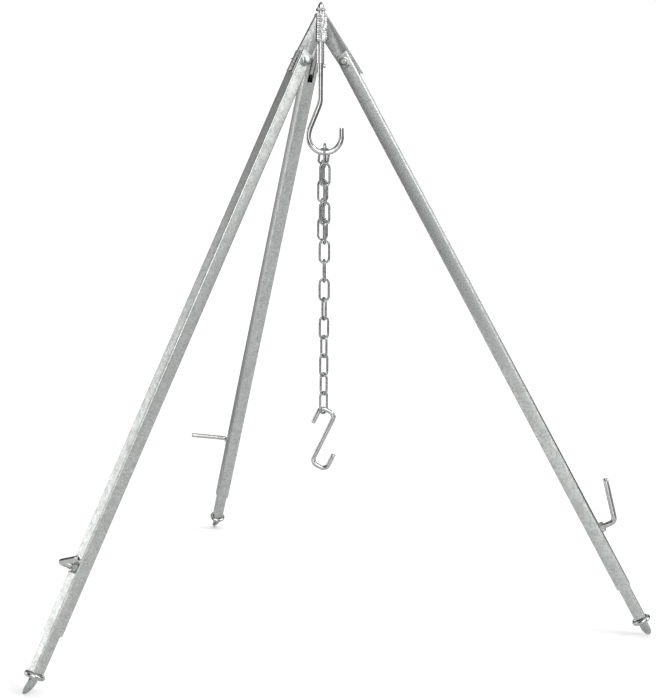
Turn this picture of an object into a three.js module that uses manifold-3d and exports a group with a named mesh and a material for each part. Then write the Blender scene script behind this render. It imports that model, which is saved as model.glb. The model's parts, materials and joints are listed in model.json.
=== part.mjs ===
// Telescopic cooking and hoisting tripod: welded head, three pivoting legs, swivel hook, chain, S-hook.
// Millimetres, +Z up, z = 0 at the ground; the hook turns about the Z axis.
import * as THREE from "three";
import Module from "manifold-3d";
import { mergeVertices } from "three/addons/utils/BufferGeometryUtils.js";

// ---- driving dimensions -------------------------------------------------------------------

// legs: L runs down the leg from the apex where the three leg axes meet,
// n points away from the Z axis, s points sideways
const LEG_ANGLE = 29.06;                  // from plumb, degrees
const LEG_BEARING = [-47.6, 75.8, 203.8]; // degrees from -Y towards +X
const OUTER = 25;
const OUTER_WALL = 1.6;
const OUTER_TOP = 85;
const OUTER_END = 1200;
const INNER = 20;
const INNER_WALL = 1.5;
const INNER_TOP = 200;
const INNER_END = 1264.8;
const RING_AT = 1269.9;                   // ring of round bar welded round the spike
const RING_R = 13.2;
const RING_BAR = 4.75;
const SPIKE_R = 8;
const SPIKE_TOP = 1238;                   // the spike starts inside the inner tube
const SPIKE_CUT = 34;                     // length of the slanting cut
const SPIKE_TURN = [90, -90, 0];          // which way the cut faces: 0 inwards, 90 along s
const APEX_HEIGHT = 1139.84;

// pivot of each leg: an M10 bolt through the slotted tube end and the arm plate
const PIVOT_AT = 102;
const BOLT_R = 5;
const HOLE_R = 5.35;
const HEX_AF = 17;
const HEAD_T = 6.4;
const NUT_T = 8;
const BOLT_PROUD = 3;
const SLOT = 10.5;
const SLOT_INNER_END = 128.5;
const SLOT_OUTER_END = 131.8;

// arm plates, heights measured from the apex
const PLATE_T = 6;
const PLATE_TOP = 2.4;
const PLATE_WELD_BOTTOM = -50;
const PLATE_OUTER = [[3, 10], [135, 19]]; // [L, n] of the free outer edge
const PLATE_INNER_END = [112, -12];

// centre sleeve, swivel hook and its finial
const SLEEVE_R = 7;
const SLEEVE_BORE = 5.25;
const SLEEVE_TOP = 6.6;
const SLEEVE_BOTTOM = -89;
const WELD_R = 10.2;
const ROD_R = 5;
const BOWL_X = 9;
const BOWL_R = 31;
const BOWL_Z = -222.5;
const HOOK_SET = 22;                      // how far the shank is set back from the axis
const HOOK_LEAN = 22;
const HOOK_BEND_R = 40;
const HOOK_TIP_Z = -207;
const FINIAL = [[0, 7], [9.2, 7], [9.2, 10.4], [7.5, 11.4], [5.9, 15.6], [3.4, 20.6], [1.1, 23.8], [0, 24.3]];
const STOP_R = 3.8;

// chain: the hook goes through link 1, and the spare end falls over behind it
const LINKS = 14;
const SPARE = 5;
const WIRE_R = 2.5;
const LINK_W = 23;
const LINK_IN = 36.8;                     // inside length
const LINK_GAP = 0.4;
const LINK_TURN = [84, 4, 96, 8, 98, 2, 97, 14, 110, 27, 123, 40, 129, 44]; // from facing -Y
const LINK_1_BACK = 1.2;                  // link 1 sits this far back on the hook
const LINK_1_LIFT = 7.4;                  // centre of its top bend over the bottom of the hook
const SPARE_1_AT = [4.9, 7.7];            // top of the first spare link, from the bottom of the hook
const SPARE_1_LEAN = 51;
const SPARE_1_TILT = 5;
const SPARE_TURN = [0, 77, 166, 76, 160];

// S-hook
const S_R = 4.2;
const S_CORNER = 11.5;                    // bend radius at each corner of its two U bends
const S_WIDTH = 32;
const S_SHANK = 84;
const S_ARM = 24;
const S_TURN = -12;
const S_CLEAR = 1.5;

// clamp screws
const CLAMP_AT = [1090, 1084, 1054];
const CLAMP_TURN = [77, 0, 90];           // where each handle points: 0 up the leg, 90 sideways
const SCREW_BEND_AT = 42;
const SCREW_BEND_R = 10;
const HANDLE = 82;
const HANDLE_LEAN = 15;

const rad = THREE.MathUtils.degToRad;
const APEX_Z = APEX_HEIGHT;

const wasm = await Module();
wasm.setup();

// ---- helpers ------------------------------------------------------------------------------

function toSolid(geometry) {
  const g = geometry.clone();
  g.deleteAttribute("normal");
  g.deleteAttribute("uv");
  const m = mergeVertices(g, 1e-4);
  return new wasm.Manifold(new wasm.Mesh({
    numProp: 3,
    vertProperties: new Float32Array(m.attributes.position.array),
    triVerts: new Uint32Array(m.index.array),
  }));
}

function fromSolid(solid) {
  const mesh = solid.getMesh();
  const g = new THREE.BufferGeometry();
  g.setAttribute("position", new THREE.BufferAttribute(new Float32Array(mesh.vertProperties), 3));
  g.setIndex(new THREE.BufferAttribute(new Uint32Array(mesh.triVerts), 1));
  return g;
}

function cut(body, ...tools) {
  return fromSolid(tools.reduce((a, t) => a.subtract(toSolid(t)), toSolid(body)));
}

function join(...bodies) {
  return fromSolid(bodies.slice(1).reduce((a, t) => a.add(toSolid(t)), toSolid(bodies[0])));
}

function box(w, d, h, x, y, z) {
  return new THREE.BoxGeometry(w, d, h).translate(x, y, z);
}

// round bar along local x, y or z between two positions on that axis
function bar(radius, from, to, axis, sides = 24) {
  const g = new THREE.CylinderGeometry(radius, radius, to - from, sides).translate(0, (from + to) / 2, 0);
  if (axis === "x") g.rotateZ(-Math.PI / 2);
  if (axis === "z") g.rotateX(Math.PI / 2);
  return g;
}

function hexagon(acrossFlats, from, to, axis) {
  return bar(acrossFlats / Math.sqrt(3), from, to, axis, 6);
}

// round rod swept along points that lie in one plane with the given normal;
// an open rod may have its last ends drawn in as [distance, radius] steps
function rod(points, normal, radius, sides, closed = false, endSteps = []) {
  const count = points.length;
  const rings = points.map((p, i) => {
    const before = points[closed ? (i + count - 1) % count : Math.max(i - 1, 0)];
    const after = points[closed ? (i + 1) % count : Math.min(i + 1, count - 1)];
    const along = after.clone().sub(before).normalize();
    return { p, along, r: radius };
  });
  for (const [distance, r] of endSteps) {
    const last = rings[rings.length - 1];
    const p = points[count - 1].clone().addScaledVector(last.along, distance);
    rings.push({ p, along: last.along, r });
  }
  const position = [];
  for (const { p, along, r } of rings) {
    const side = new THREE.Vector3().crossVectors(normal, along).normalize();
    for (let j = 0; j < sides; j++) {
      const a = ((j + 0.5) / sides) * 2 * Math.PI;
      const q = p.clone().addScaledVector(side, r * Math.cos(a)).addScaledVector(normal, r * Math.sin(a));
      position.push(q.x, q.y, q.z);
    }
  }
  const index = [];
  const steps = closed ? rings.length : rings.length - 1;
  for (let i = 0; i < steps; i++) {
    const here = i * sides;
    const next = ((i + 1) % rings.length) * sides;
    for (let j = 0; j < sides; j++) {
      const k = (j + 1) % sides;
      index.push(here + j, next + k, next + j, here + j, here + k, next + k);
    }
  }
  if (!closed) {
    const end = (rings.length - 1) * sides;
    for (let j = 1; j < sides - 1; j++) {
      index.push(0, j + 1, j, end, end + j, end + j + 1);
    }
  }
  const g = new THREE.BufferGeometry();
  g.setAttribute("position", new THREE.Float32BufferAttribute(position, 3));
  g.setIndex(index);
  return outward(g);
}

// turn every face over if the closed surface was wound inside out
function outward(g) {
  const p = g.attributes.position;
  const idx = g.index.array;
  const [a, b, c] = [new THREE.Vector3(), new THREE.Vector3(), new THREE.Vector3()];
  let volume = 0;
  for (let i = 0; i < idx.length; i += 3) {
    a.fromBufferAttribute(p, idx[i]);
    b.fromBufferAttribute(p, idx[i + 1]);
    c.fromBufferAttribute(p, idx[i + 2]);
    volume += a.dot(b.cross(c));
  }
  if (volume < 0) {
    for (let i = 0; i < idx.length; i += 3) {
      [idx[i + 1], idx[i + 2]] = [idx[i + 2], idx[i + 1]];
    }
  }
  return g;
}

// points of an arc in the plane of the two unit directions u and v, angles in degrees
function arc(centre, u, v, radius, from, to, steps) {
  const out = [];
  for (let i = 0; i <= steps; i++) {
    const a = rad(from + ((to - from) * i) / steps);
    out.push(centre.clone().addScaledVector(u, radius * Math.cos(a)).addScaledVector(v, radius * Math.sin(a)));
  }
  return out;
}

// closed polygon in the (n, L) plane of a leg, extruded sideways about s = 0
function plate(outline, thickness) {
  const shape = new THREE.Shape(outline.map(([L, n]) => new THREE.Vector2(n, L)));
  const g = new THREE.ExtrudeGeometry(shape, { depth: thickness, bevelEnabled: false });
  g.translate(0, 0, -thickness / 2);
  return g.applyMatrix4(new THREE.Matrix4().makeBasis(Y, Z, X));
}

const X = new THREE.Vector3(1, 0, 0);
const Y = new THREE.Vector3(0, 1, 0);
const Z = new THREE.Vector3(0, 0, 1);

const group = new THREE.Group();
group.name = "campfire_tripod";

function add(name, geometry, colour, roughness) {
  const material = new THREE.MeshStandardMaterial({ color: colour, metalness: 0.9, roughness });
  const mesh = new THREE.Mesh(geometry, material);
  mesh.name = name;
  group.add(mesh);
}

const ZINC = 0xb4b9b8;
const ZINC_BRIGHT = 0xc6cac8;
const ZINC_DARK = 0x9ea3a3;

// ---- leg frame: local x = s, y = n, z = L -------------------------------------------------

function legMatrix(k) {
  const b = rad(LEG_BEARING[k]);
  const t = rad(LEG_ANGLE);
  const s = new THREE.Vector3(Math.cos(b), Math.sin(b), 0);
  const n = new THREE.Vector3(Math.sin(b) * Math.cos(t), -Math.cos(b) * Math.cos(t), Math.sin(t));
  const d = new THREE.Vector3(Math.sin(b) * Math.sin(t), -Math.cos(b) * Math.sin(t), -Math.cos(t));
  return new THREE.Matrix4().makeBasis(s, n, d).setPosition(0, 0, APEX_Z);
}

// [L, n] of a point given by its distance from the Z axis and its height over the apex
function fromPlumb(r, h) {
  const t = rad(LEG_ANGLE);
  return [r * Math.sin(t) - h * Math.cos(t), r * Math.cos(t) + h * Math.sin(t)];
}

// ---- head ---------------------------------------------------------------------------------

function armPlate() {
  const outline = [
    fromPlumb(SLEEVE_R + 0.4, PLATE_TOP),
    ...PLATE_OUTER,
    PLATE_INNER_END,
    fromPlumb(SLEEVE_R + 0.4, PLATE_WELD_BOTTOM),
  ];
  return cut(plate(outline, PLATE_T), bar(HOLE_R, -10, 10, "x").translate(0, 0, PIVOT_AT));
}

// weld metal in the corner between two arm plates
function weldSeam(k) {
  const inner = SLEEVE_R + 0.35;
  const from = LEG_BEARING[k] - 90;
  const next = LEG_BEARING[(k + 1) % 3] - 90 + (k === 2 ? 360 : 0);
  const clear = (r) => THREE.MathUtils.radToDeg(Math.asin((PLATE_T / 2 + 0.35) / r));
  const points = [];
  const steps = 10;
  for (let i = 0; i <= steps; i++) {
    const a = from + clear(inner) + ((next - from - 2 * clear(inner)) * i) / steps;
    points.push([inner, a]);
  }
  for (let i = steps; i >= 0; i--) {
    const u = i / steps;
    const r = WELD_R - 1.6 * Math.sin(Math.PI * u);
    const a = from + clear(r) + (next - from - 2 * clear(r)) * u;
    points.push([r, a]);
  }
  const shape = new THREE.Shape(points.map(([r, a]) => new THREE.Vector2(r * Math.cos(rad(a)), r * Math.sin(rad(a)))));
  const height = PLATE_TOP - 1 - PLATE_WELD_BOTTOM;
  const g = new THREE.ExtrudeGeometry(shape, { depth: height, bevelEnabled: false });
  return g.translate(0, 0, APEX_Z + PLATE_WELD_BOTTOM);
}

function sleeve() {
  const tube = bar(SLEEVE_R, APEX_Z + SLEEVE_BOTTOM, APEX_Z + SLEEVE_TOP, "z", 32);
  return cut(tube, bar(SLEEVE_BORE, APEX_Z + SLEEVE_BOTTOM - 1, APEX_Z + SLEEVE_TOP + 1, "z", 32));
}

// ---- hook ---------------------------------------------------------------------------------

function hookRod() {
  const lean = rad(HOOK_LEAN);
  const bendDrop = HOOK_BEND_R * Math.sin(lean);
  const bendSet = HOOK_BEND_R * (1 - Math.cos(lean));
  const slopeDrop = (HOOK_SET - 2 * bendSet) / Math.tan(lean);
  const start = BOWL_Z + 2 * bendDrop + slopeDrop;
  const at = (x, z) => new THREE.Vector3(x, 0, APEX_Z + z);
  const points = [
    at(0, SLEEVE_TOP),
    ...arc(at(-HOOK_BEND_R, start), X, Z, HOOK_BEND_R, 0, -HOOK_LEAN, 4),
    ...arc(at(BOWL_X - BOWL_R + HOOK_BEND_R, BOWL_Z), X, Z, HOOK_BEND_R, 180 - HOOK_LEAN, 180, 4),
    ...arc(at(BOWL_X, BOWL_Z), X, Z, BOWL_R, 180, 360, 20).slice(1),
    at(BOWL_X + BOWL_R, HOOK_TIP_Z),
  ];
  return rod(points, Y, ROD_R, 16);
}

function finial() {
  const profile = FINIAL.map(([r, h]) => new THREE.Vector2(r, h));
  const g = new THREE.LatheGeometry(profile, 24).rotateX(Math.PI / 2).translate(0, 0, APEX_Z);
  return mergeVertices(strip(g), 1e-4);
}

function strip(g) {
  g.deleteAttribute("normal");
  g.deleteAttribute("uv");
  return g;
}

// ---- chain and S-hook ---------------------------------------------------------------------

const PITCH = LINK_IN - LINK_GAP;
const BEND = LINK_W / 2 - WIRE_R;
const CHAIN_TOP = APEX_Z + BOWL_Z - BOWL_R + LINK_1_LIFT + BEND - WIRE_R; // inside top of link 1

function across(turn) {
  return new THREE.Vector3(Math.cos(rad(turn)), Math.sin(rad(turn)), 0);
}

// a link from the centre of the wire at its top, with its long way along v and its width along u
function oneLink(top, u, v) {
  const upper = top.clone().addScaledVector(v, -BEND);
  const lower = top.clone().addScaledVector(v, BEND - LINK_IN - 2 * WIRE_R);
  const points = [...arc(upper, u, v, BEND, 0, 180, 10), ...arc(lower, u, v, BEND, 180, 360, 10)];
  return rod(points, new THREE.Vector3().crossVectors(v, u), WIRE_R, 8, true);
}

function chainLink(k) {
  const top = new THREE.Vector3(BOWL_X, LINK_1_BACK, CHAIN_TOP - k * PITCH + WIRE_R);
  return oneLink(top, across(LINK_TURN[k]), Z);
}

function spareLink(k) {
  const lean = rad(SPARE_1_LEAN);
  const tilt = rad(SPARE_1_TILT);
  const flat = new THREE.Vector3(0, -Math.sin(lean), Math.cos(lean));
  const v = flat.clone().multiplyScalar(Math.cos(tilt)).addScaledVector(X, Math.sin(tilt));
  const u = X.clone().multiplyScalar(Math.cos(tilt)).addScaledVector(flat, -Math.sin(tilt));
  const [back, up] = SPARE_1_AT;
  const top = new THREE.Vector3(BOWL_X, back, APEX_Z + BOWL_Z - BOWL_R + up);
  if (k === 0) return oneLink(top, u, v);
  const next = top.addScaledVector(v, -LINK_IN - 2 * WIRE_R);
  next.z += 2 * WIRE_R + LINK_GAP - (k - 1) * PITCH;
  return oneLink(next, across(SPARE_TURN[k]), Z);
}

// two U bends with square-set corners; the outer corner of each lies plumb over or under the other
function sHook() {
  const half = S_SHANK / 2;
  const corner = S_WIDTH - S_CORNER;
  const tilt = Math.atan2(corner, half);
  const reach = Math.hypot(corner, half);
  const flat = across(S_TURN);
  const v = Z.clone().multiplyScalar(Math.cos(tilt)).addScaledVector(flat, Math.sin(tilt));
  const u = flat.clone().multiplyScalar(Math.cos(tilt)).addScaledVector(Z, -Math.sin(tilt));
  const seat = CHAIN_TOP - (LINKS - 1) * PITCH - LINK_IN + S_CLEAR; // underside of the top bend
  const centre = new THREE.Vector3(BOWL_X, LINK_1_BACK, seat + S_R - S_CORNER - reach);
  const at = (x, y) => centre.clone().addScaledVector(u, x).addScaledVector(v, y);
  const points = [
    at(-S_WIDTH, half - S_ARM),
    ...arc(at(-corner, half), u, v, S_CORNER, 180, 90, 6),
    ...arc(at(-S_CORNER, half), u, v, S_CORNER, 90, 0, 6),
    ...arc(at(S_CORNER, -half), u, v, S_CORNER, 180, 270, 6),
    ...arc(at(corner, -half), u, v, S_CORNER, 270, 360, 6),
    at(S_WIDTH, S_ARM - half),
  ];
  return rod(points, new THREE.Vector3().crossVectors(u, v), S_R, 12);
}

// ---- leg pieces ---------------------------------------------------------------------------

function outerTube(k) {
  const length = OUTER_END - OUTER_TOP;
  const bore = OUTER - 2 * OUTER_WALL;
  const slot = (end, side) => box(SLOT, 6, end - OUTER_TOP + 2, 0, side * OUTER / 2, (end + OUTER_TOP - 2) / 2);
  return cut(
    box(OUTER, OUTER, length, 0, 0, OUTER_TOP + length / 2),
    box(bore, bore, length + 4, 0, 0, OUTER_TOP + length / 2),
    slot(SLOT_INNER_END, -1),
    slot(SLOT_OUTER_END, 1),
    bar(HOLE_R, -20, 20, "x").translate(0, 0, PIVOT_AT),
    bar(HOLE_R, 8, 20, "y").translate(0, 0, CLAMP_AT[k]),
  );
}

function innerTube() {
  const length = INNER_END - INNER_TOP;
  const bore = INNER - 2 * INNER_WALL;
  return cut(
    box(INNER, INNER, length, 0, 0, INNER_TOP + length / 2),
    box(bore, bore, length + 4, 0, 0, INNER_TOP + length / 2),
  );
}

function pivotBolt() {
  const face = OUTER / 2 + 0.3;
  return join(
    bar(BOLT_R, -face - NUT_T - BOLT_PROUD, face + 1, "x"),
    hexagon(HEX_AF, face, face + HEAD_T, "x"),
  ).translate(0, 0, PIVOT_AT);
}

function pivotNut() {
  const face = -OUTER / 2 - 0.3;
  return cut(hexagon(HEX_AF, face - NUT_T, face, "x"), bar(HOLE_R, -40, 0, "x")).translate(0, 0, PIVOT_AT);
}

function clampNut(k) {
  const face = OUTER / 2 + 0.3;
  return cut(hexagon(HEX_AF, face, face + NUT_T, "y"), bar(HOLE_R, 0, 40, "y")).translate(0, 0, CLAMP_AT[k]);
}

function clampScrew(k) {
  const lean = rad(HANDLE_LEAN);
  const turn = rad(CLAMP_TURN[k]);
  const side = new THREE.Vector3(Math.sin(turn), 0, -Math.cos(turn));
  const handle = side.clone().multiplyScalar(Math.cos(lean)).addScaledVector(Y, Math.sin(lean));
  const corner = new THREE.Vector3(0, SCREW_BEND_AT, CLAMP_AT[k]);
  const sweep = 90 - HANDLE_LEAN;
  const back = SCREW_BEND_R * Math.tan(rad(sweep / 2));
  const centre = corner.clone().addScaledVector(Y, -back).addScaledVector(side, SCREW_BEND_R);
  const away = side.clone().negate();
  const points = [
    new THREE.Vector3(0, INNER / 2 + 0.35, CLAMP_AT[k]),
    ...arc(centre, away, Y, SCREW_BEND_R, 0, sweep, 6),
    corner.clone().addScaledVector(handle, HANDLE - 2.5),
  ];
  return rod(points, new THREE.Vector3().crossVectors(side, Y), ROD_R, 14, false, [[1.6, 4.3], [2.5, 2.8]]);
}

function footRing() {
  return mergeVertices(strip(new THREE.TorusGeometry(RING_R, RING_BAR, 10, 32)), 1e-4).translate(0, 0, RING_AT);
}

// L of the spike's tip when the lowest point of its cut end stands on the ground
function spikeTip(k) {
  const t = rad(LEG_ANGLE);
  let low = Infinity;
  for (let a = 0; a < 360; a++) {
    const along = (SPIKE_CUT / 2) * (1 - Math.cos(rad(a)));
    const outward = SPIKE_R * Math.cos(rad(a + SPIKE_TURN[k]));
    low = Math.min(low, along * Math.cos(t) + outward * Math.sin(t));
  }
  return (APEX_Z + low) / Math.cos(t);
}

function footSpike(k) {
  const slope = Math.atan2(2 * SPIKE_R, SPIKE_CUT);
  const wedge = box(60, 60, 120, 0, -30, 0).rotateX(-slope).translate(0, SPIKE_R, spikeTip(k));
  return cut(bar(SPIKE_R, SPIKE_TOP, spikeTip(k), "z"), wedge).rotateZ(rad(SPIKE_TURN[k]));
}

// ---- assembly -----------------------------------------------------------------------------

add("finial", finial(), ZINC_BRIGHT, 0.35);
add("centre_sleeve", sleeve(), ZINC_BRIGHT, 0.4);
for (let k = 0; k < 3; k++) {
  add(`arm_plate_${k + 1}`, armPlate().applyMatrix4(legMatrix(k)), ZINC_DARK, 0.5);
  add(`weld_seam_${k + 1}`, weldSeam(k), ZINC_BRIGHT, 0.6);
}

add("swivel_hook", hookRod(), ZINC_BRIGHT, 0.35);
const stopPeg = bar(STOP_R, ROD_R + 0.3, ROD_R + 4.6, "x", 16);
add("hook_stop", stopPeg.translate(0, 0, APEX_Z + SLEEVE_BOTTOM - STOP_R - 0.4), ZINC_DARK, 0.5);
for (let k = 0; k < LINKS; k++) {
  add(`chain_link_${String(k + 1).padStart(2, "0")}`, chainLink(k), ZINC, 0.4);
}
for (let k = 0; k < SPARE; k++) {
  add(`spare_link_${k + 1}`, spareLink(k), ZINC, 0.4);
}
add("s_hook", sHook(), ZINC_BRIGHT, 0.35);

for (let k = 0; k < 3; k++) {
  const place = legMatrix(k);
  add(`outer_tube_${k + 1}`, outerTube(k).applyMatrix4(place), ZINC, 0.45);
  add(`pivot_bolt_${k + 1}`, pivotBolt().applyMatrix4(place), ZINC_BRIGHT, 0.35);
  add(`pivot_nut_${k + 1}`, pivotNut().applyMatrix4(place), ZINC_DARK, 0.4);
  add(`clamp_nut_${k + 1}`, clampNut(k).applyMatrix4(place), ZINC_DARK, 0.5);
  add(`clamp_screw_${k + 1}`, clampScrew(k).applyMatrix4(place), ZINC_BRIGHT, 0.35);
  add(`inner_tube_${k + 1}`, innerTube().applyMatrix4(place), ZINC, 0.45);
  add(`foot_ring_${k + 1}`, footRing().applyMatrix4(place), ZINC_BRIGHT, 0.4);
  add(`foot_spike_${k + 1}`, footSpike(k).applyMatrix4(place), ZINC_DARK, 0.4);
}

export default group;
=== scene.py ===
"""Looks of the campfire tripod: camera, light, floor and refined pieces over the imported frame."""
import json
import math
import bmesh
import bpy
import numpy as np
from mathutils import Matrix, Vector
from mathutils import noise

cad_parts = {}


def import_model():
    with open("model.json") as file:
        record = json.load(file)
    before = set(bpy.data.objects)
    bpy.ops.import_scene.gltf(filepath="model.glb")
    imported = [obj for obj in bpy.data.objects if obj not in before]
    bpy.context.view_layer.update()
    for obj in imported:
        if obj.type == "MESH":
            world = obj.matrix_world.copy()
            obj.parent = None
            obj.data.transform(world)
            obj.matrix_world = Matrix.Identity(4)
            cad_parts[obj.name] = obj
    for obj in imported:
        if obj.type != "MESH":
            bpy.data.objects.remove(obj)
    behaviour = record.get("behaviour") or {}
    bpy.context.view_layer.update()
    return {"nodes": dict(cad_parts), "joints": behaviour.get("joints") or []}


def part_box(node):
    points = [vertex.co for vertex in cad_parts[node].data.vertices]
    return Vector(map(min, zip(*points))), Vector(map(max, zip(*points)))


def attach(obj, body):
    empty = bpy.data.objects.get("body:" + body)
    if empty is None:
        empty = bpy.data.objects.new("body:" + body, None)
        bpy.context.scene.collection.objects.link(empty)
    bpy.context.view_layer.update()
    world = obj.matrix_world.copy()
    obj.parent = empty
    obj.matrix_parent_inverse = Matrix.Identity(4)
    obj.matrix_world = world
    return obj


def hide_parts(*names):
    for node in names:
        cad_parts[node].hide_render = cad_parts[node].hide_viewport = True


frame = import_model()
joints = {j["name"]: j for j in frame["joints"]}

MM = 0.001
X = Vector((1, 0, 0))
Y = Vector((0, 1, 0))
Z = Vector((0, 0, 1))
LEGS = (1, 2, 3)
PIVOT_L = 102 * MM     # from the apex to a leg's pivot, along the leg


# ---- places read from the frame ----------------------------------------------------------

def leg_matrix(k):
    """Leg frame: x sideways, y outwards, z down the leg, origin where the leg axes meet."""
    s = Vector(joints[f"leg_{k}_fold"]["axis"]).normalized()
    d = Vector(joints[f"leg_{k}_extend"]["axis"]).normalized()
    n = d.cross(s).normalized()
    matrix = Matrix((s, n, d)).transposed().to_4x4()
    matrix.translation = Vector(joints[f"leg_{k}_fold"]["pos_m"]) - d * PIVOT_L
    return matrix


LEG = {k: leg_matrix(k) for k in LEGS}
APEX = LEG[1].translation.copy()


def leg_extent(node, k):
    """Where a node starts and ends down its leg."""
    to_leg = LEG[k].inverted()
    values = [(to_leg @ v.co).z for v in frame["nodes"][node].data.vertices]
    return min(values), max(values)


def principal(node):
    """Centre of a node and its longest, middle and shortest directions."""
    points = np.array([v.co for v in frame["nodes"][node].data.vertices])
    centre = points.mean(axis=0)
    rows = np.linalg.svd(points - centre, full_matrices=False)[2]
    return Vector(centre), [Vector(r).normalized() for r in rows]


# ---- round shapes ------------------------------------------------------------------------

def polar(radius, angle, z):
    return Vector((radius * math.cos(angle), radius * math.sin(angle), z))


def turn_angles(count):
    """A full turn in count equal steps, in radians."""
    return [2 * math.pi * i / count for i in range(count)]


def circle(radius, z, sides):
    return [polar(radius, a, z) for a in turn_angles(sides)]


def arc(centre, u, v, radius, start, end, steps):
    """Points round centre in the plane of u and v, from start to end degrees."""
    out = []
    for i in range(steps + 1):
        a = math.radians(start + (end - start) * i / steps)
        out.append(centre + u * (radius * math.cos(a)) + v * (radius * math.sin(a)))
    return out


# ---- camera ------------------------------------------------------------------------------

LENS = 58.47
SENSOR = 36
CAMERA_Y = -2.1766
CAMERA_BELOW_APEX = 0.374
CAMERA_PITCH = 6.671      # degrees downwards
CAMERA_YAW = -0.451
CAMERA_ROLL = 0.344


def add_to_scene(name, data):
    obj = bpy.data.objects.new(name, data)
    bpy.context.scene.collection.objects.link(obj)
    return obj


def camera():
    data = bpy.data.cameras.new("camera")
    data.sensor_width = SENSOR
    data.lens = LENS
    data.clip_end = 50
    obj = add_to_scene("camera", data)
    turn = (Matrix.Rotation(math.radians(CAMERA_YAW), 4, "Z")
            @ Matrix.Rotation(math.radians(90) - math.radians(CAMERA_PITCH), 4, "X")
            @ Matrix.Rotation(math.radians(CAMERA_ROLL), 4, "Z"))
    obj.matrix_world = Matrix.Translation((0, CAMERA_Y, APEX.z - CAMERA_BELOW_APEX)) @ turn
    bpy.context.scene.camera = obj


# ---- shader node helpers -----------------------------------------------------------------

def shader_node(tree, kind, **inputs):
    made = tree.nodes.new(kind)
    for key, value in inputs.items():
        made.inputs[key.replace("_", " ")].default_value = value
    return made


def math_node(tree, operation, a, b):
    made = tree.nodes.new("ShaderNodeMath")
    made.operation = operation
    for socket, value in zip(made.inputs, (a, b)):
        if isinstance(value, (int, float)):
            socket.default_value = value
        else:
            tree.links.new(value, socket)
    return made.outputs[0]


def map_range(tree, value, start, end, low, high, interpolation="LINEAR"):
    """low where value is start, high where it is end, and a ramp between them."""
    made = shader_node(tree, "ShaderNodeMapRange",
                       From_Min=start, From_Max=end, To_Min=low, To_Max=high)
    made.interpolation_type = interpolation
    tree.links.new(value, made.inputs["Value"])
    return made.outputs[0]


def glossy_switch(tree, plain, mirrored, output):
    """Shows mirrored to the rays that metal reflects, and plain to all others."""
    path = tree.nodes.new("ShaderNodeLightPath")
    mix = tree.nodes.new("ShaderNodeMixShader")
    tree.links.new(path.outputs["Is Glossy Ray"], mix.inputs[0])
    tree.links.new(plain, mix.inputs[1])
    tree.links.new(mirrored, mix.inputs[2])
    tree.links.new(mix.outputs[0], output.inputs["Surface"])


# ---- floor -------------------------------------------------------------------------------

FLOOR_RADIUS = 2.6
FLOOR_SIDES = 96
FLOOR_TONE = 0.90
# painted reflection: a darker floor that only the metal mirrors, by y: (from, to, tone at from, tone
# at to)
PAINTED_REFLECTION_FRONT = (-0.9, -1.7, 0.52, 1.0)
PAINTED_REFLECTION_BACK = (0.5, 1.4, 1.0, 0.2)


def paper():
    material = bpy.data.materials.new("pale_floor")
    material.use_nodes = True
    tree = material.node_tree
    shader = tree.nodes["Principled BSDF"]
    shader.inputs["Base Color"].default_value = (FLOOR_TONE, FLOOR_TONE, FLOOR_TONE, 1)
    shader.inputs["Roughness"].default_value = 1.0
    shader.inputs["Specular IOR Level"].default_value = 0.0

    place = tree.nodes.new("ShaderNodeTexCoord")
    parts = tree.nodes.new("ShaderNodeSeparateXYZ")
    tree.links.new(place.outputs["Object"], parts.inputs[0])
    # painted reflection: rays that metal reflects see this darker floor tone, graded by y, instead of
    # the even pale floor
    front = map_range(tree, parts.outputs["Y"], *PAINTED_REFLECTION_FRONT)
    back = map_range(tree, parts.outputs["Y"], *PAINTED_REFLECTION_BACK)
    mirrored = tree.nodes.new("ShaderNodeBsdfDiffuse")
    tree.links.new(math_node(tree, "MULTIPLY", front, back), mirrored.inputs["Color"])
    glossy_switch(tree, shader.outputs[0], mirrored.outputs[0], tree.nodes["Material Output"])
    return material


def floor():
    mesh = bpy.data.meshes.new("floor")
    mesh.from_pydata(circle(FLOOR_RADIUS, 0, FLOOR_SIDES), [], [tuple(range(FLOOR_SIDES))])
    mesh.materials.append(paper())
    add_to_scene("floor", mesh)


# ---- light -------------------------------------------------------------------------------

WHITE_STRENGTH = 1.14
DARK = 0.055     # what the metal mirrors between the cards
# white cards that only the metal mirrors: direction, half angles of core and edge, strength
CARDS = [
    ((-0.96, 0.22, 0.10), 12, 32, 1.65),
    ((-0.62, 0.22, 0.75), 8, 30, 0.22),
    ((0.95, -0.10, 0.40), 6, 26, 2.0),
    ((0.98, -0.18, 0.02), 6, 30, 0.32),
    ((0.10, -1.00, 0.03), 6, 17, 2.2),
    ((-0.40, -0.86, 0.26), 4, 14, 1.1),
    ((0.27, 0.93, 0.22), 8, 20, 1.2),
    ((0.10, 0.30, 1.00), 12, 34, 0.8),
    ((0.04, -0.76, 0.64), 11, 30, 3.0),    # the bright line down the left leg's corner
]
SUN_STRENGTH = 0.75
SUN_ANGLE = 16
SUN_DIRECTION = (-0.85, 0.30, -0.9)


def card(tree, coordinate, direction, core, edge, strength):
    """Round soft-edged patch of light in one direction of the world."""
    dot = tree.nodes.new("ShaderNodeVectorMath")
    dot.operation = "DOT_PRODUCT"
    tree.links.new(coordinate, dot.inputs[0])
    dot.inputs[1].default_value = Vector(direction).normalized()
    return map_range(tree, dot.outputs["Value"], math.cos(math.radians(edge)),
                     math.cos(math.radians(core)), 0, strength, "SMOOTHSTEP")


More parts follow.
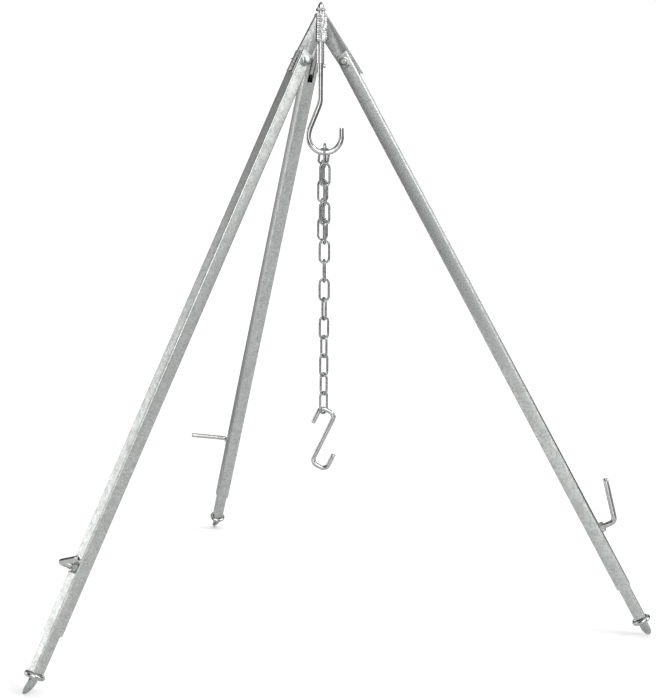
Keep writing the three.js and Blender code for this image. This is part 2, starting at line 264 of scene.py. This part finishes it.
def world():
    made = bpy.data.worlds.new("studio")
    made.use_nodes = True
    made.cycles.sampling_method = "NONE"
    tree = made.node_tree
    white = tree.nodes["Background"]
    white.inputs["Color"].default_value = (1, 1, 1, 1)
    white.inputs["Strength"].default_value = WHITE_STRENGTH
    coordinate = tree.nodes.new("ShaderNodeTexCoord").outputs["Generated"]
    total = card(tree, coordinate, *CARDS[0])
    for values in CARDS[1:]:
        total = math_node(tree, "ADD", total, card(tree, coordinate, *values))
    cards = tree.nodes.new("ShaderNodeBackground")
    cards.inputs["Color"].default_value = (1, 1, 1, 1)
    tree.links.new(math_node(tree, "ADD", total, DARK), cards.inputs["Strength"])
    glossy_switch(tree, white.outputs[0], cards.outputs[0], tree.nodes["World Output"])
    bpy.context.scene.world = made


def soft_sun():
    data = bpy.data.lights.new("soft_sun", "SUN")
    data.energy = SUN_STRENGTH
    data.angle = math.radians(SUN_ANGLE)
    sun = add_to_scene("soft_sun", data)
    sun.rotation_euler = Vector(SUN_DIRECTION).to_track_quat("-Z", "Y").to_euler()


# ---- materials ---------------------------------------------------------------------------

GRAIN_SCALE = 520.0
SPANGLES_PER_PATCH = 5.5
CLOUD_SHARE, GRAIN_SHARE, SPANGLE_SHARE = 0.46, 0.38, 0.16
TONE_SPREAD = 0.11       # how far either side of the middle the darkest and lightest tones lie
BUMP_DEPTH = 0.4 * MM


def zinc(name, dark, light, rough, patch=70, bump=0.1):
    """Zinc plate: small grey patches, fine grain, dull specks and a faintly uneven surface."""
    material = bpy.data.materials.new(name)
    material.use_nodes = True
    tree = material.node_tree
    shader = tree.nodes["Principled BSDF"]
    shader.inputs["Metallic"].default_value = 1.0

    coordinate = tree.nodes.new("ShaderNodeTexCoord").outputs["Object"]
    cloud = shader_node(tree, "ShaderNodeTexNoise", Scale=patch, Detail=8.0, Roughness=0.68,
                        Distortion=0.3)
    grain = shader_node(tree, "ShaderNodeTexNoise", Scale=GRAIN_SCALE, Detail=2.0, Roughness=0.5)
    cell = shader_node(tree, "ShaderNodeTexVoronoi", Scale=patch * SPANGLES_PER_PATCH)
    for texture in (cloud, grain, cell):
        tree.links.new(coordinate, texture.inputs["Vector"])
    spangle = tree.nodes.new("ShaderNodeSeparateColor")
    tree.links.new(cell.outputs["Color"], spangle.inputs[0])
    amount = math_node(tree, "ADD", math_node(tree, "MULTIPLY", cloud.outputs["Fac"], CLOUD_SHARE),
                       math_node(tree, "MULTIPLY", grain.outputs["Fac"], GRAIN_SHARE))
    amount = math_node(tree, "ADD", amount,
                       math_node(tree, "MULTIPLY", spangle.outputs[0], SPANGLE_SHARE))

    ramp = tree.nodes.new("ShaderNodeValToRGB")
    low, high = ramp.color_ramp.elements
    low.position = 0.5 - TONE_SPREAD
    low.color = dark + (1,)
    high.position = 0.5 + TONE_SPREAD
    high.color = light + (1,)
    tree.links.new(amount, ramp.inputs["Fac"])
    tree.links.new(ramp.outputs["Color"], shader.inputs["Base Color"])
    gloss = map_range(tree, amount, 0.35, 0.65, rough + 0.08, rough - 0.05)
    tree.links.new(gloss, shader.inputs["Roughness"])
    lift = shader_node(tree, "ShaderNodeBump", Strength=bump, Distance=BUMP_DEPTH)
    tree.links.new(amount, lift.inputs["Height"])
    tree.links.new(lift.outputs["Normal"], shader.inputs["Normal"])
    return material


LOOKS = {
    "zinc_tube": dict(dark=(0.49, 0.515, 0.50), light=(0.73, 0.76, 0.74), rough=0.34),
    "zinc_chain": dict(dark=(0.24, 0.255, 0.25), light=(0.60, 0.62, 0.61), rough=0.16,
                       patch=120, bump=0.04),
    "zinc_rod": dict(dark=(0.50, 0.51, 0.50), light=(0.72, 0.73, 0.71), rough=0.13,
                     patch=60, bump=0.01),
    "zinc_plate": dict(dark=(0.42, 0.43, 0.43), light=(0.66, 0.67, 0.67), rough=0.44, patch=80),
    "zinc_sleeve": dict(dark=(0.70, 0.71, 0.70), light=(0.90, 0.90, 0.89), rough=0.28,
                        patch=60, bump=0.03),
    "zinc_hardware": dict(dark=(0.42, 0.44, 0.43), light=(0.72, 0.74, 0.72), rough=0.20,
                          patch=120, bump=0.05),
    "zinc_weld": dict(dark=(0.66, 0.67, 0.66), light=(0.90, 0.90, 0.89), rough=0.36, patch=80),
}
MATERIALS = {name: zinc(name, **look) for name, look in LOOKS.items()}


# ---- mesh helpers ------------------------------------------------------------------------

SHARP_ANGLE = 34
HEX_FACE_SHARE = 0.955        # radius of a nut's round face, as a share of half its flats
HEX_CHAMFER_SLOPE = 0.55
THREAD_PITCH = 1.5 * MM
THREAD_STEPS = 5              # rings in one turn of thread
TIP_SLOPE = 0.9


def piece(name, bm, body, material, source, smooth=SHARP_ANGLE):
    """Finished mesh that rides on body and stands for the CAD node named source."""
    bmesh.ops.recalc_face_normals(bm, faces=bm.faces)
    mesh = bpy.data.meshes.new(name)
    bm.to_mesh(mesh)
    bm.free()
    obj = add_to_scene(name, mesh)
    mesh.materials.append(MATERIALS[material])
    for face in mesh.polygons:
        face.use_smooth = True
    mesh.set_sharp_from_angle(angle=math.radians(smooth))
    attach(obj, body)
    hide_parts(source)
    return obj


def merge(bm, other):
    """Adds other's faces to bm and frees other."""
    mesh = bpy.data.meshes.new("part")
    other.to_mesh(mesh)
    other.free()
    bm.from_mesh(mesh)
    bpy.data.meshes.remove(mesh)


def loft(rings, closed=False):
    """Skin over rings of equally many points, capped unless the last ring meets the first."""
    bm = bmesh.new()
    made = [[bm.verts.new(p) for p in ring] for ring in rings]
    sides = len(rings[0])
    count = len(made) if closed else len(made) - 1
    for i in range(count):
        a, b = made[i], made[(i + 1) % len(made)]
        for j in range(sides):
            k = (j + 1) % sides
            bm.faces.new((a[j], a[k], b[k], b[j]))
    if not closed:
        bm.faces.new(made[0])
        bm.faces.new(made[-1])
    return bm


def sweep(points, normal, radius, sides=24, closed=False, ends=()):
    """Round rod through points in the plane across normal.

    radius is a number, or a function of the share of the way along. ends lists the rings that
    close each end, as (distance past the end, radius).
    """
    normal = Vector(normal).normalized()
    count = len(points)
    rings = []

    def ring(p, direction, r):
        side = normal.cross(direction).normalized()
        return [p + side * (r * math.cos(a)) + normal * (r * math.sin(a)) for a in turn_angles(sides)]

    for i, p in enumerate(points):
        before = points[(i - 1) % count if closed else max(i - 1, 0)]
        after = points[(i + 1) % count if closed else min(i + 1, count - 1)]
        r = radius(i / count) if callable(radius) else radius
        rings.append(ring(p, (after - before).normalized(), r))
    if not closed:
        first = (points[0] - points[1]).normalized()
        last = (points[-1] - points[-2]).normalized()
        for distance, r in ends:
            rings.append(ring(points[-1] + last * distance, last, r))
            rings.insert(0, ring(points[0] + first * distance, -first, r))
    return loft(rings, closed=closed)


def lathe(profile, sides=48):
    """Profile of (radius, height) pairs turned about z, closed unless it starts and ends on z."""
    bm = bmesh.new()
    rows = []
    for r, h in profile:
        ring = circle(r, h, sides) if r > 0 else [Vector((0, 0, h))]
        rows.append([bm.verts.new(p) for p in ring])
    closed = len(rows[0]) > 1 and len(rows[-1]) > 1
    for i in range(len(rows) if closed else len(rows) - 1):
        a, b = rows[i], rows[(i + 1) % len(rows)]
        for j in range(sides):
            k = (j + 1) % sides
            if len(a) == 1:
                bm.faces.new((a[0], b[j], b[k]))
            elif len(b) == 1:
                bm.faces.new((a[j], a[k], b[0]))
            else:
                bm.faces.new((a[j], a[k], b[k], b[j]))
    return bm


def hexagon(flats, low, high, matrix, bore=0.0, chamfer_low=True):
    """Hexagon nut or head with chamfered corners, and a bore if it has one."""
    sides = 72
    half = flats / 2
    face_radius = half * HEX_FACE_SHARE
    bevel = 0.6 * MM
    angles = turn_angles(sides)
    corners = [half / math.cos((a + math.pi / 6) % (math.pi / 3) - math.pi / 6) for a in angles]
    drops = [(corner - face_radius) * HEX_CHAMFER_SLOPE for corner in corners]

    def ring(radii, heights):
        return [matrix @ polar(r, a, z) for r, a, z in zip(radii, angles, heights)]

    def round_ring(radius, z):
        return ring([radius] * sides, [z] * sides)

    rings = [
        round_ring(face_radius, low),
        ring(corners, [low + drop if chamfer_low else low for drop in drops]),
        ring(corners, [high - drop for drop in drops]),
        round_ring(face_radius, high),
    ]
    if not bore:
        return loft(rings)
    rings = [round_ring(bore, low + bevel), round_ring(bore + bevel, low)] + rings
    rings += [round_ring(bore + bevel, high), round_ring(bore, high - bevel)]
    return loft(rings, closed=True)


def threaded(radius, low, high, matrix, depth=0.7 * MM, plain=0.0, tip=1.0 * MM):
    """Rod from low to high, with a helical thread past its plain length and a chamfered tip."""
    steps = int((high - low) / (THREAD_PITCH / THREAD_STEPS))
    rings = []
    for i in range(steps + 1):
        z = low + (high - low) * i / steps
        chamfered = radius - max(0.0, tip - (high - z)) * TIP_SLOPE
        row = []
        for a in turn_angles(32):
            wave = abs(((z / THREAD_PITCH - a / (2 * math.pi)) % 1.0) * 2 - 1)
            r = radius - (depth * wave if z > low + plain else 0)
            row.append(matrix @ polar(min(r, chamfered), a, z))
        rings.append(row)
    return loft(rings)


def rounded_square(width, radius, steps=5):
    half = width / 2 - radius
    out = []
    for cx, cy, start in ((half, half, 0), (-half, half, 90), (-half, -half, 180), (half, -half, 270)):
        for i in range(steps + 1):
            a = math.radians(start + 90 * i / steps)
            out.append((cx + radius * math.cos(a), cy + radius * math.sin(a)))
    return out


def square_tube(width, wall, radius, low, high, matrix):
    """Square tube with rolled corners and slightly broken end edges."""
    lengths = 14
    edge = 0.35 * MM
    outer = rounded_square(width, radius)
    inner = rounded_square(width - 2 * wall, radius - wall)
    small = rounded_square(width - 2 * edge, radius - edge)
    places = [(small, low), (outer, low + edge)]
    places += [(outer, low + (high - low) * i / lengths) for i in range(1, lengths)]
    places += [(outer, high - edge), (small, high), (inner, high), (inner, low)]
    rings = [[matrix @ Vector((x, y, z)) for x, y in shape] for shape, z in places]
    return loft(rings, closed=True)


def box_mesh(low, high, matrix):
    (x0, y0, z0), (x1, y1, z1) = low, high
    outline = ((x0, y0), (x1, y0), (x1, y1), (x0, y1))
    return loft([[matrix @ Vector((x, y, z)) for x, y in outline] for z in (z0, z1)])


def rod_mesh(radius, low, high, matrix):
    return loft([[matrix @ p for p in circle(radius, z, 40)] for z in (low, high)])


def cut_with(obj, cutters):
    """Takes the cutters out of obj and applies the result."""
    for bm in cutters:
        bmesh.ops.recalc_face_normals(bm, faces=bm.faces)
        mesh = bpy.data.meshes.new("cutter")
        bm.to_mesh(mesh)
        bm.free()
        cutter = add_to_scene("cutter", mesh)
        cut = obj.modifiers.new("cut", "BOOLEAN")
        cut.operation = "DIFFERENCE"
        cut.solver = "EXACT"
        cut.object = cutter
        bpy.context.view_layer.update()
        depsgraph = bpy.context.evaluated_depsgraph_get()
        result = bpy.data.meshes.new_from_object(obj.evaluated_get(depsgraph))
        obj.modifiers.clear()
        old = obj.data
        obj.data = result
        bpy.data.meshes.remove(old)
        bpy.data.objects.remove(cutter)
    obj.data.set_sharp_from_angle(angle=math.radians(SHARP_ANGLE))


def bevelled_copy(name, source, body, material, width, angle=28, dissolve=2):
    """A CAD node with its edges broken."""
    bm = bmesh.new()
    bm.from_mesh(frame["nodes"][source].data)
    bmesh.ops.remove_doubles(bm, verts=bm.verts, dist=1e-6)
    bmesh.ops.dissolve_limit(bm, angle_limit=math.radians(dissolve), verts=bm.verts, edges=bm.edges)
    sharp = [e for e in bm.edges
             if len(e.link_faces) == 2 and e.calc_face_angle(0) > math.radians(angle)]
    bmesh.ops.bevel(bm, geom=sharp, offset=width, segments=2, profile=0.6, affect="EDGES",
                    clamp_overlap=True)
    return piece(name, bm, body, material, source, smooth=40)


# ---- head --------------------------------------------------------------------------------

SLEEVE_R = 7 * MM
SLEEVE_BORE = 5.4 * MM
WELD_ACROSS, WELD_ROWS = 40, 120
WELD_INNER = 7.1 * MM        # radius of the weld's back, just off the sleeve
WELD_OUTER = 13.8 * MM       # radius along the plates
WELD_HOLLOW = 4.6 * MM       # how much lower the middle between the plates lies
WELD_RIPPLE = 0.26 * MM
WELD_LUMP = 0.80 * MM
BEAD_PITCH = 4.2 * MM
WELD_FADE = 22               # ends round off over about 1 / 22 of the length


def sleeve():
    bottom, top = (corner[2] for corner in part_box("centre_sleeve"))
    bevel = 0.6 * MM
    profile = [(SLEEVE_BORE, bottom), (SLEEVE_R - bevel, bottom), (SLEEVE_R, bottom + bevel)]
    profile += [(SLEEVE_R, bottom + (top - bottom) * i / 10) for i in range(1, 10)]
    profile += [(SLEEVE_R, top - bevel), (SLEEVE_R - bevel, top), (SLEEVE_BORE, top)]
    piece("sleeve", lathe(profile, 64), "head", "zinc_sleeve", "centre_sleeve")


def bead_radius(u, z, k):
    """Surface of weld k at height z. u runs from 0 at one arm plate to 1 at the next."""
    side = 1 if u > 0.5 else -1
    near = abs(2 * u - 1)
    phase = 2 * math.pi * (z / BEAD_PITCH + 0.28 * near * side) + 1.7 * side + k
    coarse = noise.noise(Vector((u * 4 + k * 7, z * 105, side)))
    fine = noise.noise(Vector((u * 8, z * 260, k * 3.0)))
    return (WELD_OUTER - WELD_HOLLOW * (1 - near ** 1.6) + WELD_RIPPLE * near * math.sin(phase)
            + WELD_LUMP * (coarse + 0.3 * fine))


def weld(k):
    """Uneven weld that fills the corner between two arm plates, rippled along each of them."""
    source = f"weld_seam_{k}"
    points = [v.co for v in frame["nodes"][source].data.vertices]
    low, high = min(p.z for p in points), max(p.z for p in points)
    angles = [math.atan2(p.y, p.x) for p in points]
    middle = math.atan2(sum(math.sin(a) for a in angles), sum(math.cos(a) for a in angles))
    spread = [(a - middle + math.pi) % (2 * math.pi) - math.pi for a in angles]
    start, end = middle + min(spread), middle + max(spread)
    rings = []
    for i in range(WELD_ROWS + 1):
        z = low + (high - low) * i / WELD_ROWS
        from_end = min(i, WELD_ROWS - i) / WELD_ROWS
        fade = min(1.0, (from_end * WELD_FADE) ** 0.5)
        outer, back = [], []
        for j in range(WELD_ACROSS + 1):
            u = j / WELD_ACROSS
            a = start + (end - start) * u
            r = WELD_INNER + (bead_radius(u, z, k) - WELD_INNER) * fade
            outer.append(polar(r, a, z))
            if j % 8 == 0:
                back.append(polar(WELD_INNER, a, z))
        rings.append(outer + back[::-1])
    piece(f"weld_{k}", loft(rings), "head", "zinc_weld", source, smooth=80)


def head():
    sleeve()
    for k in LEGS:
        bevelled_copy(f"arm_{k}", f"arm_plate_{k}", "head", "zinc_plate", 0.6 * MM)
        weld(k)


# ---- hook --------------------------------------------------------------------------------

HOOK_R = 5 * MM
HOOK_TOP = 6.4 * MM             # above the apex, as are the other heights
HOOK_LEAN = 22                  # degrees that the bar leans between its two bends
HOOK_BEND = 40 * MM
BOWL_X, BOWL_R, BOWL_Z = 9 * MM, 31 * MM, -222.5 * MM
HOOK_SETBACK = BOWL_R - BOWL_X  # from the sleeve's axis to the bar's where the bowl starts
HOOK_END = 15.5 * MM            # straight stretch past the bowl
TIP = 0.7 * MM                  # length of a bar's rounded end
FINIAL_FLATS = 16.4 * MM
FINIAL_FLANGE = 4.6 * MM
FINIAL_CONE = [(0, 2), (6.9, 4.5), (7.0, 5.2), (6.5, 6.6), (5.9, 8.6), (4.9, 10.9), (3.7, 13.1),
               (2.4, 15.2), (1.2, 16.7), (0, 17.2)]     # mm, radius and height above its base


def hook_rod():
    def at(x, z):
        return Vector((x, 0, APEX.z + z))

    lean = math.radians(HOOK_LEAN)
    shift = HOOK_BEND * (1 - math.cos(lean))
    start = BOWL_Z + 2 * HOOK_BEND * math.sin(lean) + (HOOK_SETBACK - 2 * shift) / math.tan(lean)
    points = [at(0, HOOK_TOP + (start - HOOK_TOP) * i / 12) for i in range(12)]
    points += arc(at(-HOOK_BEND, start), X, Z, HOOK_BEND, 0, -HOOK_LEAN, 12)
    points += arc(at(BOWL_X - BOWL_R + HOOK_BEND, BOWL_Z), X, Z, HOOK_BEND, 180 - HOOK_LEAN, 180, 12)
    points += arc(at(BOWL_X, BOWL_Z), X, Z, BOWL_R, 180, 360, 60)[1:]
    points += [at(BOWL_X + BOWL_R, BOWL_Z + (HOOK_END - TIP) * i / 3) for i in (1, 2, 3)]
    bm = sweep(points, Y, HOOK_R, 32, ends=[(0.4 * MM, 4.8 * MM), (TIP, 4.3 * MM)])
    piece("hook_rod", bm, "hook", "zinc_rod", "swivel_hook", smooth=60)


def finial():
    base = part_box("finial")[0][2]
    bm = hexagon(FINIAL_FLATS, base, base + FINIAL_FLANGE, Matrix.Rotation(math.radians(20), 4, "Z"))
    merge(bm, lathe([(r * MM, base + h * MM) for r, h in FINIAL_CONE]))
    piece("finial_point", bm, "hook", "zinc_hardware", "finial", smooth=38)


def hook():
    hook_rod()
    finial()
    bevelled_copy("hook_peg", "hook_stop", "hook", "zinc_hardware", 0.5 * MM)


# ---- chain and S-hook --------------------------------------------------------------------

LINK_BEND_STEPS = 22
LINK_SIDE_STEPS = 12
LINK_POINTS = 2 * (LINK_BEND_STEPS + LINK_SIDE_STEPS)
SIDE_MIDDLE = (LINK_BEND_STEPS + 1 + (LINK_SIDE_STEPS - 1) / 2) / LINK_POINTS
# swelling and necking of the wire at its butt weld: share of its radius, share of its length
BULGE = (0.10, 0.013)
WAIST = (0.05, 0.026)


def chain_link(source, body, first_side):
    """Link of the CAD node's size, with its butt weld on its first or its second side."""
    centre, (v, u, w) = principal(source)
    points = [p.co - centre for p in frame["nodes"][source].data.vertices]
    half_length, half_width, wire = (max(p.dot(axis) for p in points) for axis in (v, u, w))
    bend = half_width - wire
    straight = half_length - half_width
    path = []
    for sign, start in ((1, 0), (-1, 180)):
        path += arc(centre + v * (sign * straight), u, v, bend, start, start + 180, LINK_BEND_STEPS)
        path += [centre - u * (sign * bend) + v * (sign * straight * (1 - 2 * i / LINK_SIDE_STEPS))
                 for i in range(1, LINK_SIDE_STEPS)]
    butt = SIDE_MIDDLE if first_side else SIDE_MIDDLE + 0.5

    def radius(t):
        near = min(abs(t - butt), 1 - abs(t - butt))
        bulge, waist = (size * math.exp(-(near / width) ** 2) for size, width in (BULGE, WAIST))
        return wire * (0.985 + bulge - waist)

    bm = sweep(path, w, radius, 18, closed=True)
    piece("bright_" + source, bm, body, "zinc_chain", source, smooth=80)


def chain():
    for k in range(1, 15):
        chain_link(f"chain_link_{k:02d}", f"link_{k:02d}", k % 3 != 0)
    for k in range(1, 6):
        chain_link(f"spare_link_{k}", f"spare_{k}", k % 2 == 0)


S_ROD_R = 4.2 * MM
S_BEND = 11.5 * MM       # bend radius of all four corners
S_HALF = 42 * MM         # half the length of the shank's straight stretch
S_WIDTH = 32 * MM        # from the shank to either end arm
S_ARM = 24 * MM
S_TURN = -12             # degrees about z


def s_hook():
    """Rod bent into a squared S. Its lower half is its upper half turned round the centre."""
    lo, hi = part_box("s_hook")
    centre = (Vector(lo) + Vector(hi)) / 2
    corner = S_WIDTH - S_BEND
    arm = S_ARM - TIP
    tilt = math.atan2(corner, S_HALF)
    flat = Vector((math.cos(math.radians(S_TURN)), math.sin(math.radians(S_TURN)), 0))
    v = Z * math.cos(tilt) + flat * math.sin(tilt)
    u = flat * math.cos(tilt) - Z * math.sin(tilt)

    def at(a, b):
        return centre + u * a + v * b

    upper = [at(-S_WIDTH, S_HALF - arm + arm * i / 5) for i in range(5)]
    upper += arc(at(-corner, S_HALF), u, v, S_BEND, 180, 90, 18)
    upper += [at(-corner + (corner - S_BEND) * i / 4, S_HALF + S_BEND) for i in (1, 2, 3)]
    upper += arc(at(-S_BEND, S_HALF), u, v, S_BEND, 90, 0, 18)
    shank = [at(0, S_HALF - 2 * S_HALF * i / 8) for i in range(1, 8)]
    lower = [centre * 2 - p for p in reversed(upper)]
    bm = sweep(upper + shank + lower, u.cross(v), S_ROD_R + 0.3 * MM, 28,
               ends=[(0.4 * MM, S_ROD_R), (TIP, S_ROD_R - 0.5 * MM)])
    piece("s_hook_rod", bm, "s_hook", "zinc_rod", "s_hook", smooth=60)


# ---- legs --------------------------------------------------------------------------------

OUTER_TUBE = (25 * MM, 1.6 * MM, 2.7 * MM)     # width, wall and corner radius
INNER_TUBE = (20 * MM, 1.5 * MM, 2.2 * MM)
SLOT_HALF = 5.25 * MM                          # half width of the slots for the arm plate
INNER_SLOT_END = 128.5 * MM                    # from the apex, down the leg
OUTER_SLOT_END = 131.8 * MM
SLOT_DEPTH = 8.5 * MM                          # from the leg's axis to where a slot's cut starts
PAST_TUBE = 20 * MM                            # how far from the leg's axis a cut runs out
BOLT_HOLE_R = 5.35 * MM
FLATS = 17 * MM
NUT_BORE = 5.3 * MM
NUT_TOP = 20.8 * MM
HEAD_LOW, HEAD_HIGH = 12.8 * MM, 19.2 * MM
CLAMP_NUT_LOW = 12.75 * MM
SHANK_R = 4.95 * MM
SHANK_END = 23.6 * MM
SHANK_PLAIN = 26 * MM
TURNS = {
    "s": Matrix.Rotation(math.radians(90), 4, "Y"),
    "-s": Matrix.Rotation(math.radians(-90), 4, "Y"),
    "n": Matrix.Rotation(math.radians(-90), 4, "X"),
}


def along(k, direction, place):
    """Leg frame with its origin at place down the leg and its z turned to s, -s or n."""
    return LEG[k] @ Matrix.Translation((0, 0, place)) @ TURNS[direction]


def outer_leg(k, clamp_at):
    low, high = leg_extent(f"outer_tube_{k}", k)
    above = low - 10 * MM
    bm = square_tube(*OUTER_TUBE, low, high, LEG[k])
    tube = piece(f"outer_leg_{k}", bm, f"leg_{k}", "zinc_tube", f"outer_tube_{k}")
    cut_with(tube, [
        box_mesh((-SLOT_HALF, -PAST_TUBE, above), (SLOT_HALF, -SLOT_DEPTH, INNER_SLOT_END), LEG[k]),
        box_mesh((-SLOT_HALF, SLOT_DEPTH, above), (SLOT_HALF, PAST_TUBE, OUTER_SLOT_END), LEG[k]),
        rod_mesh(BOLT_HOLE_R, -PAST_TUBE, PAST_TUBE, along(k, "s", PIVOT_L)),
        rod_mesh(BOLT_HOLE_R, 8 * MM, PAST_TUBE, along(k, "n", clamp_at)),
    ])


def leg_hardware(k, clamp_at):
    body = f"leg_{k}"
    pivot = along(k, "s", PIVOT_L)
    bolt = hexagon(FLATS, HEAD_LOW, HEAD_HIGH, pivot, chamfer_low=False)
    far_way = pivot @ Matrix.Rotation(math.pi, 4, "X")
    merge(bolt, threaded(SHANK_R, -HEAD_LOW - 0.2 * MM, SHANK_END, far_way, plain=SHANK_PLAIN))
    piece(f"pivot_bolt_head_{k}", bolt, body, "zinc_hardware", f"pivot_bolt_{k}", smooth=30)
    nut = hexagon(FLATS, HEAD_LOW, NUT_TOP, along(k, "-s", PIVOT_L), NUT_BORE)
    piece(f"pivot_nut_hex_{k}", nut, body, "zinc_hardware", f"pivot_nut_{k}", smooth=30)
    nut = hexagon(FLATS, CLAMP_NUT_LOW, NUT_TOP, along(k, "n", clamp_at), NUT_BORE)
    piece(f"clamp_nut_hex_{k}", nut, body, "zinc_hardware", f"clamp_nut_{k}", smooth=30)


CLAMP_TURN = {1: 77, 2: 0, 3: 90}     # degrees from straight up the leg
CLAMP_LEAN = 15                       # degrees that the handle leans outwards
CLAMP_BEND = 10 * MM
CLAMP_CORNER = 42 * MM                # from the leg's axis to where screw and handle would meet
CLAMP_HANDLE = 82 * MM
CLAMP_START = 11.05 * MM              # where the bar's inner tip starts to round off
CLAMP_ENDS = [(0.4 * MM, 4.75 * MM), (0.9 * MM, 4.2 * MM), (1.2 * MM, 3.4 * MM)]
CLAMP_THREAD = (5.0 * MM, 10.6 * MM, 29 * MM)     # radius, start and end from the leg's axis


def clamp(k, clamp_at):
    """Bent bar with a threaded stretch through the clamp nut."""
    lean = math.radians(CLAMP_LEAN)
    turn = math.radians(CLAMP_TURN[k])
    bend_angle = 90 - CLAMP_LEAN
    side = Vector((math.sin(turn), 0, -math.cos(turn)))
    handle = side * math.cos(lean) + Y * math.sin(lean)
    corner = Vector((0, CLAMP_CORNER, clamp_at))
    back = CLAMP_BEND * math.tan(math.radians(bend_angle / 2))
    centre = corner - Y * back + side * CLAMP_BEND
    start = Vector((0, CLAMP_START, clamp_at))
    end = corner + handle * (CLAMP_HANDLE - CLAMP_ENDS[-1][0])
    bend = arc(centre, -side, Y, CLAMP_BEND, 0, bend_angle, 20)
    points = [start.lerp(bend[0], i / 8) for i in range(8)] + bend
    points += [bend[-1].lerp(end, i / 8) for i in range(1, 9)]
    bm = sweep(points, side.cross(Y), SHANK_R, 28, ends=CLAMP_ENDS)
    bmesh.ops.transform(bm, matrix=LEG[k], verts=bm.verts)
    merge(bm, threaded(*CLAMP_THREAD, along(k, "n", clamp_at), depth=0.8 * MM, tip=0.6 * MM))
    piece(f"clamp_handle_{k}", bm, f"clamp_{k}", "zinc_rod", f"clamp_screw_{k}", smooth=40)


RING_R = 13.2 * MM            # from the leg's axis to the middle of the ring's bar
RING_UNEVEN = 0.12 * MM


def foot_ring(k):
    """Slightly uneven ring of round bar."""
    start, end = leg_extent(f"foot_ring_{k}", k)
    middle = (start + end) / 2
    bar = (end - start) / 2 - 0.1 * MM
    rings = []
    for a in turn_angles(72):
        ring = []
        for b in turn_angles(20):
            uneven = RING_UNEVEN * noise.noise(polar(4, a, b + k))
            r = RING_R + (bar + uneven) * math.cos(b)
            ring.append(LEG[k] @ polar(r, a, middle + bar * math.sin(b)))
        rings.append(ring)
    piece(f"ring_{k}", loft(rings, closed=True), f"foot_{k}", "zinc_hardware", f"foot_ring_{k}",
          smooth=80)


def foot(k):
    low, high = leg_extent(f"inner_tube_{k}", k)
    bm = square_tube(*INNER_TUBE, low, high, LEG[k])
    piece(f"inner_leg_{k}", bm, f"foot_{k}", "zinc_tube", f"inner_tube_{k}")
    foot_ring(k)
    bevelled_copy(f"spike_{k}", f"foot_spike_{k}", f"foot_{k}", "zinc_hardware", 0.5 * MM,
                  angle=40, dissolve=0.5)


def leg(k):
    clamp_at = sum(leg_extent(f"clamp_nut_{k}", k)) / 2
    outer_leg(k, clamp_at)
    leg_hardware(k, clamp_at)
    clamp(k, clamp_at)
    foot(k)


camera()
floor()
world()
soft_sun()
bpy.context.scene.view_settings.view_transform = "Standard"
head()
hook()
chain()
s_hook()
for number in LEGS:
    leg(number)
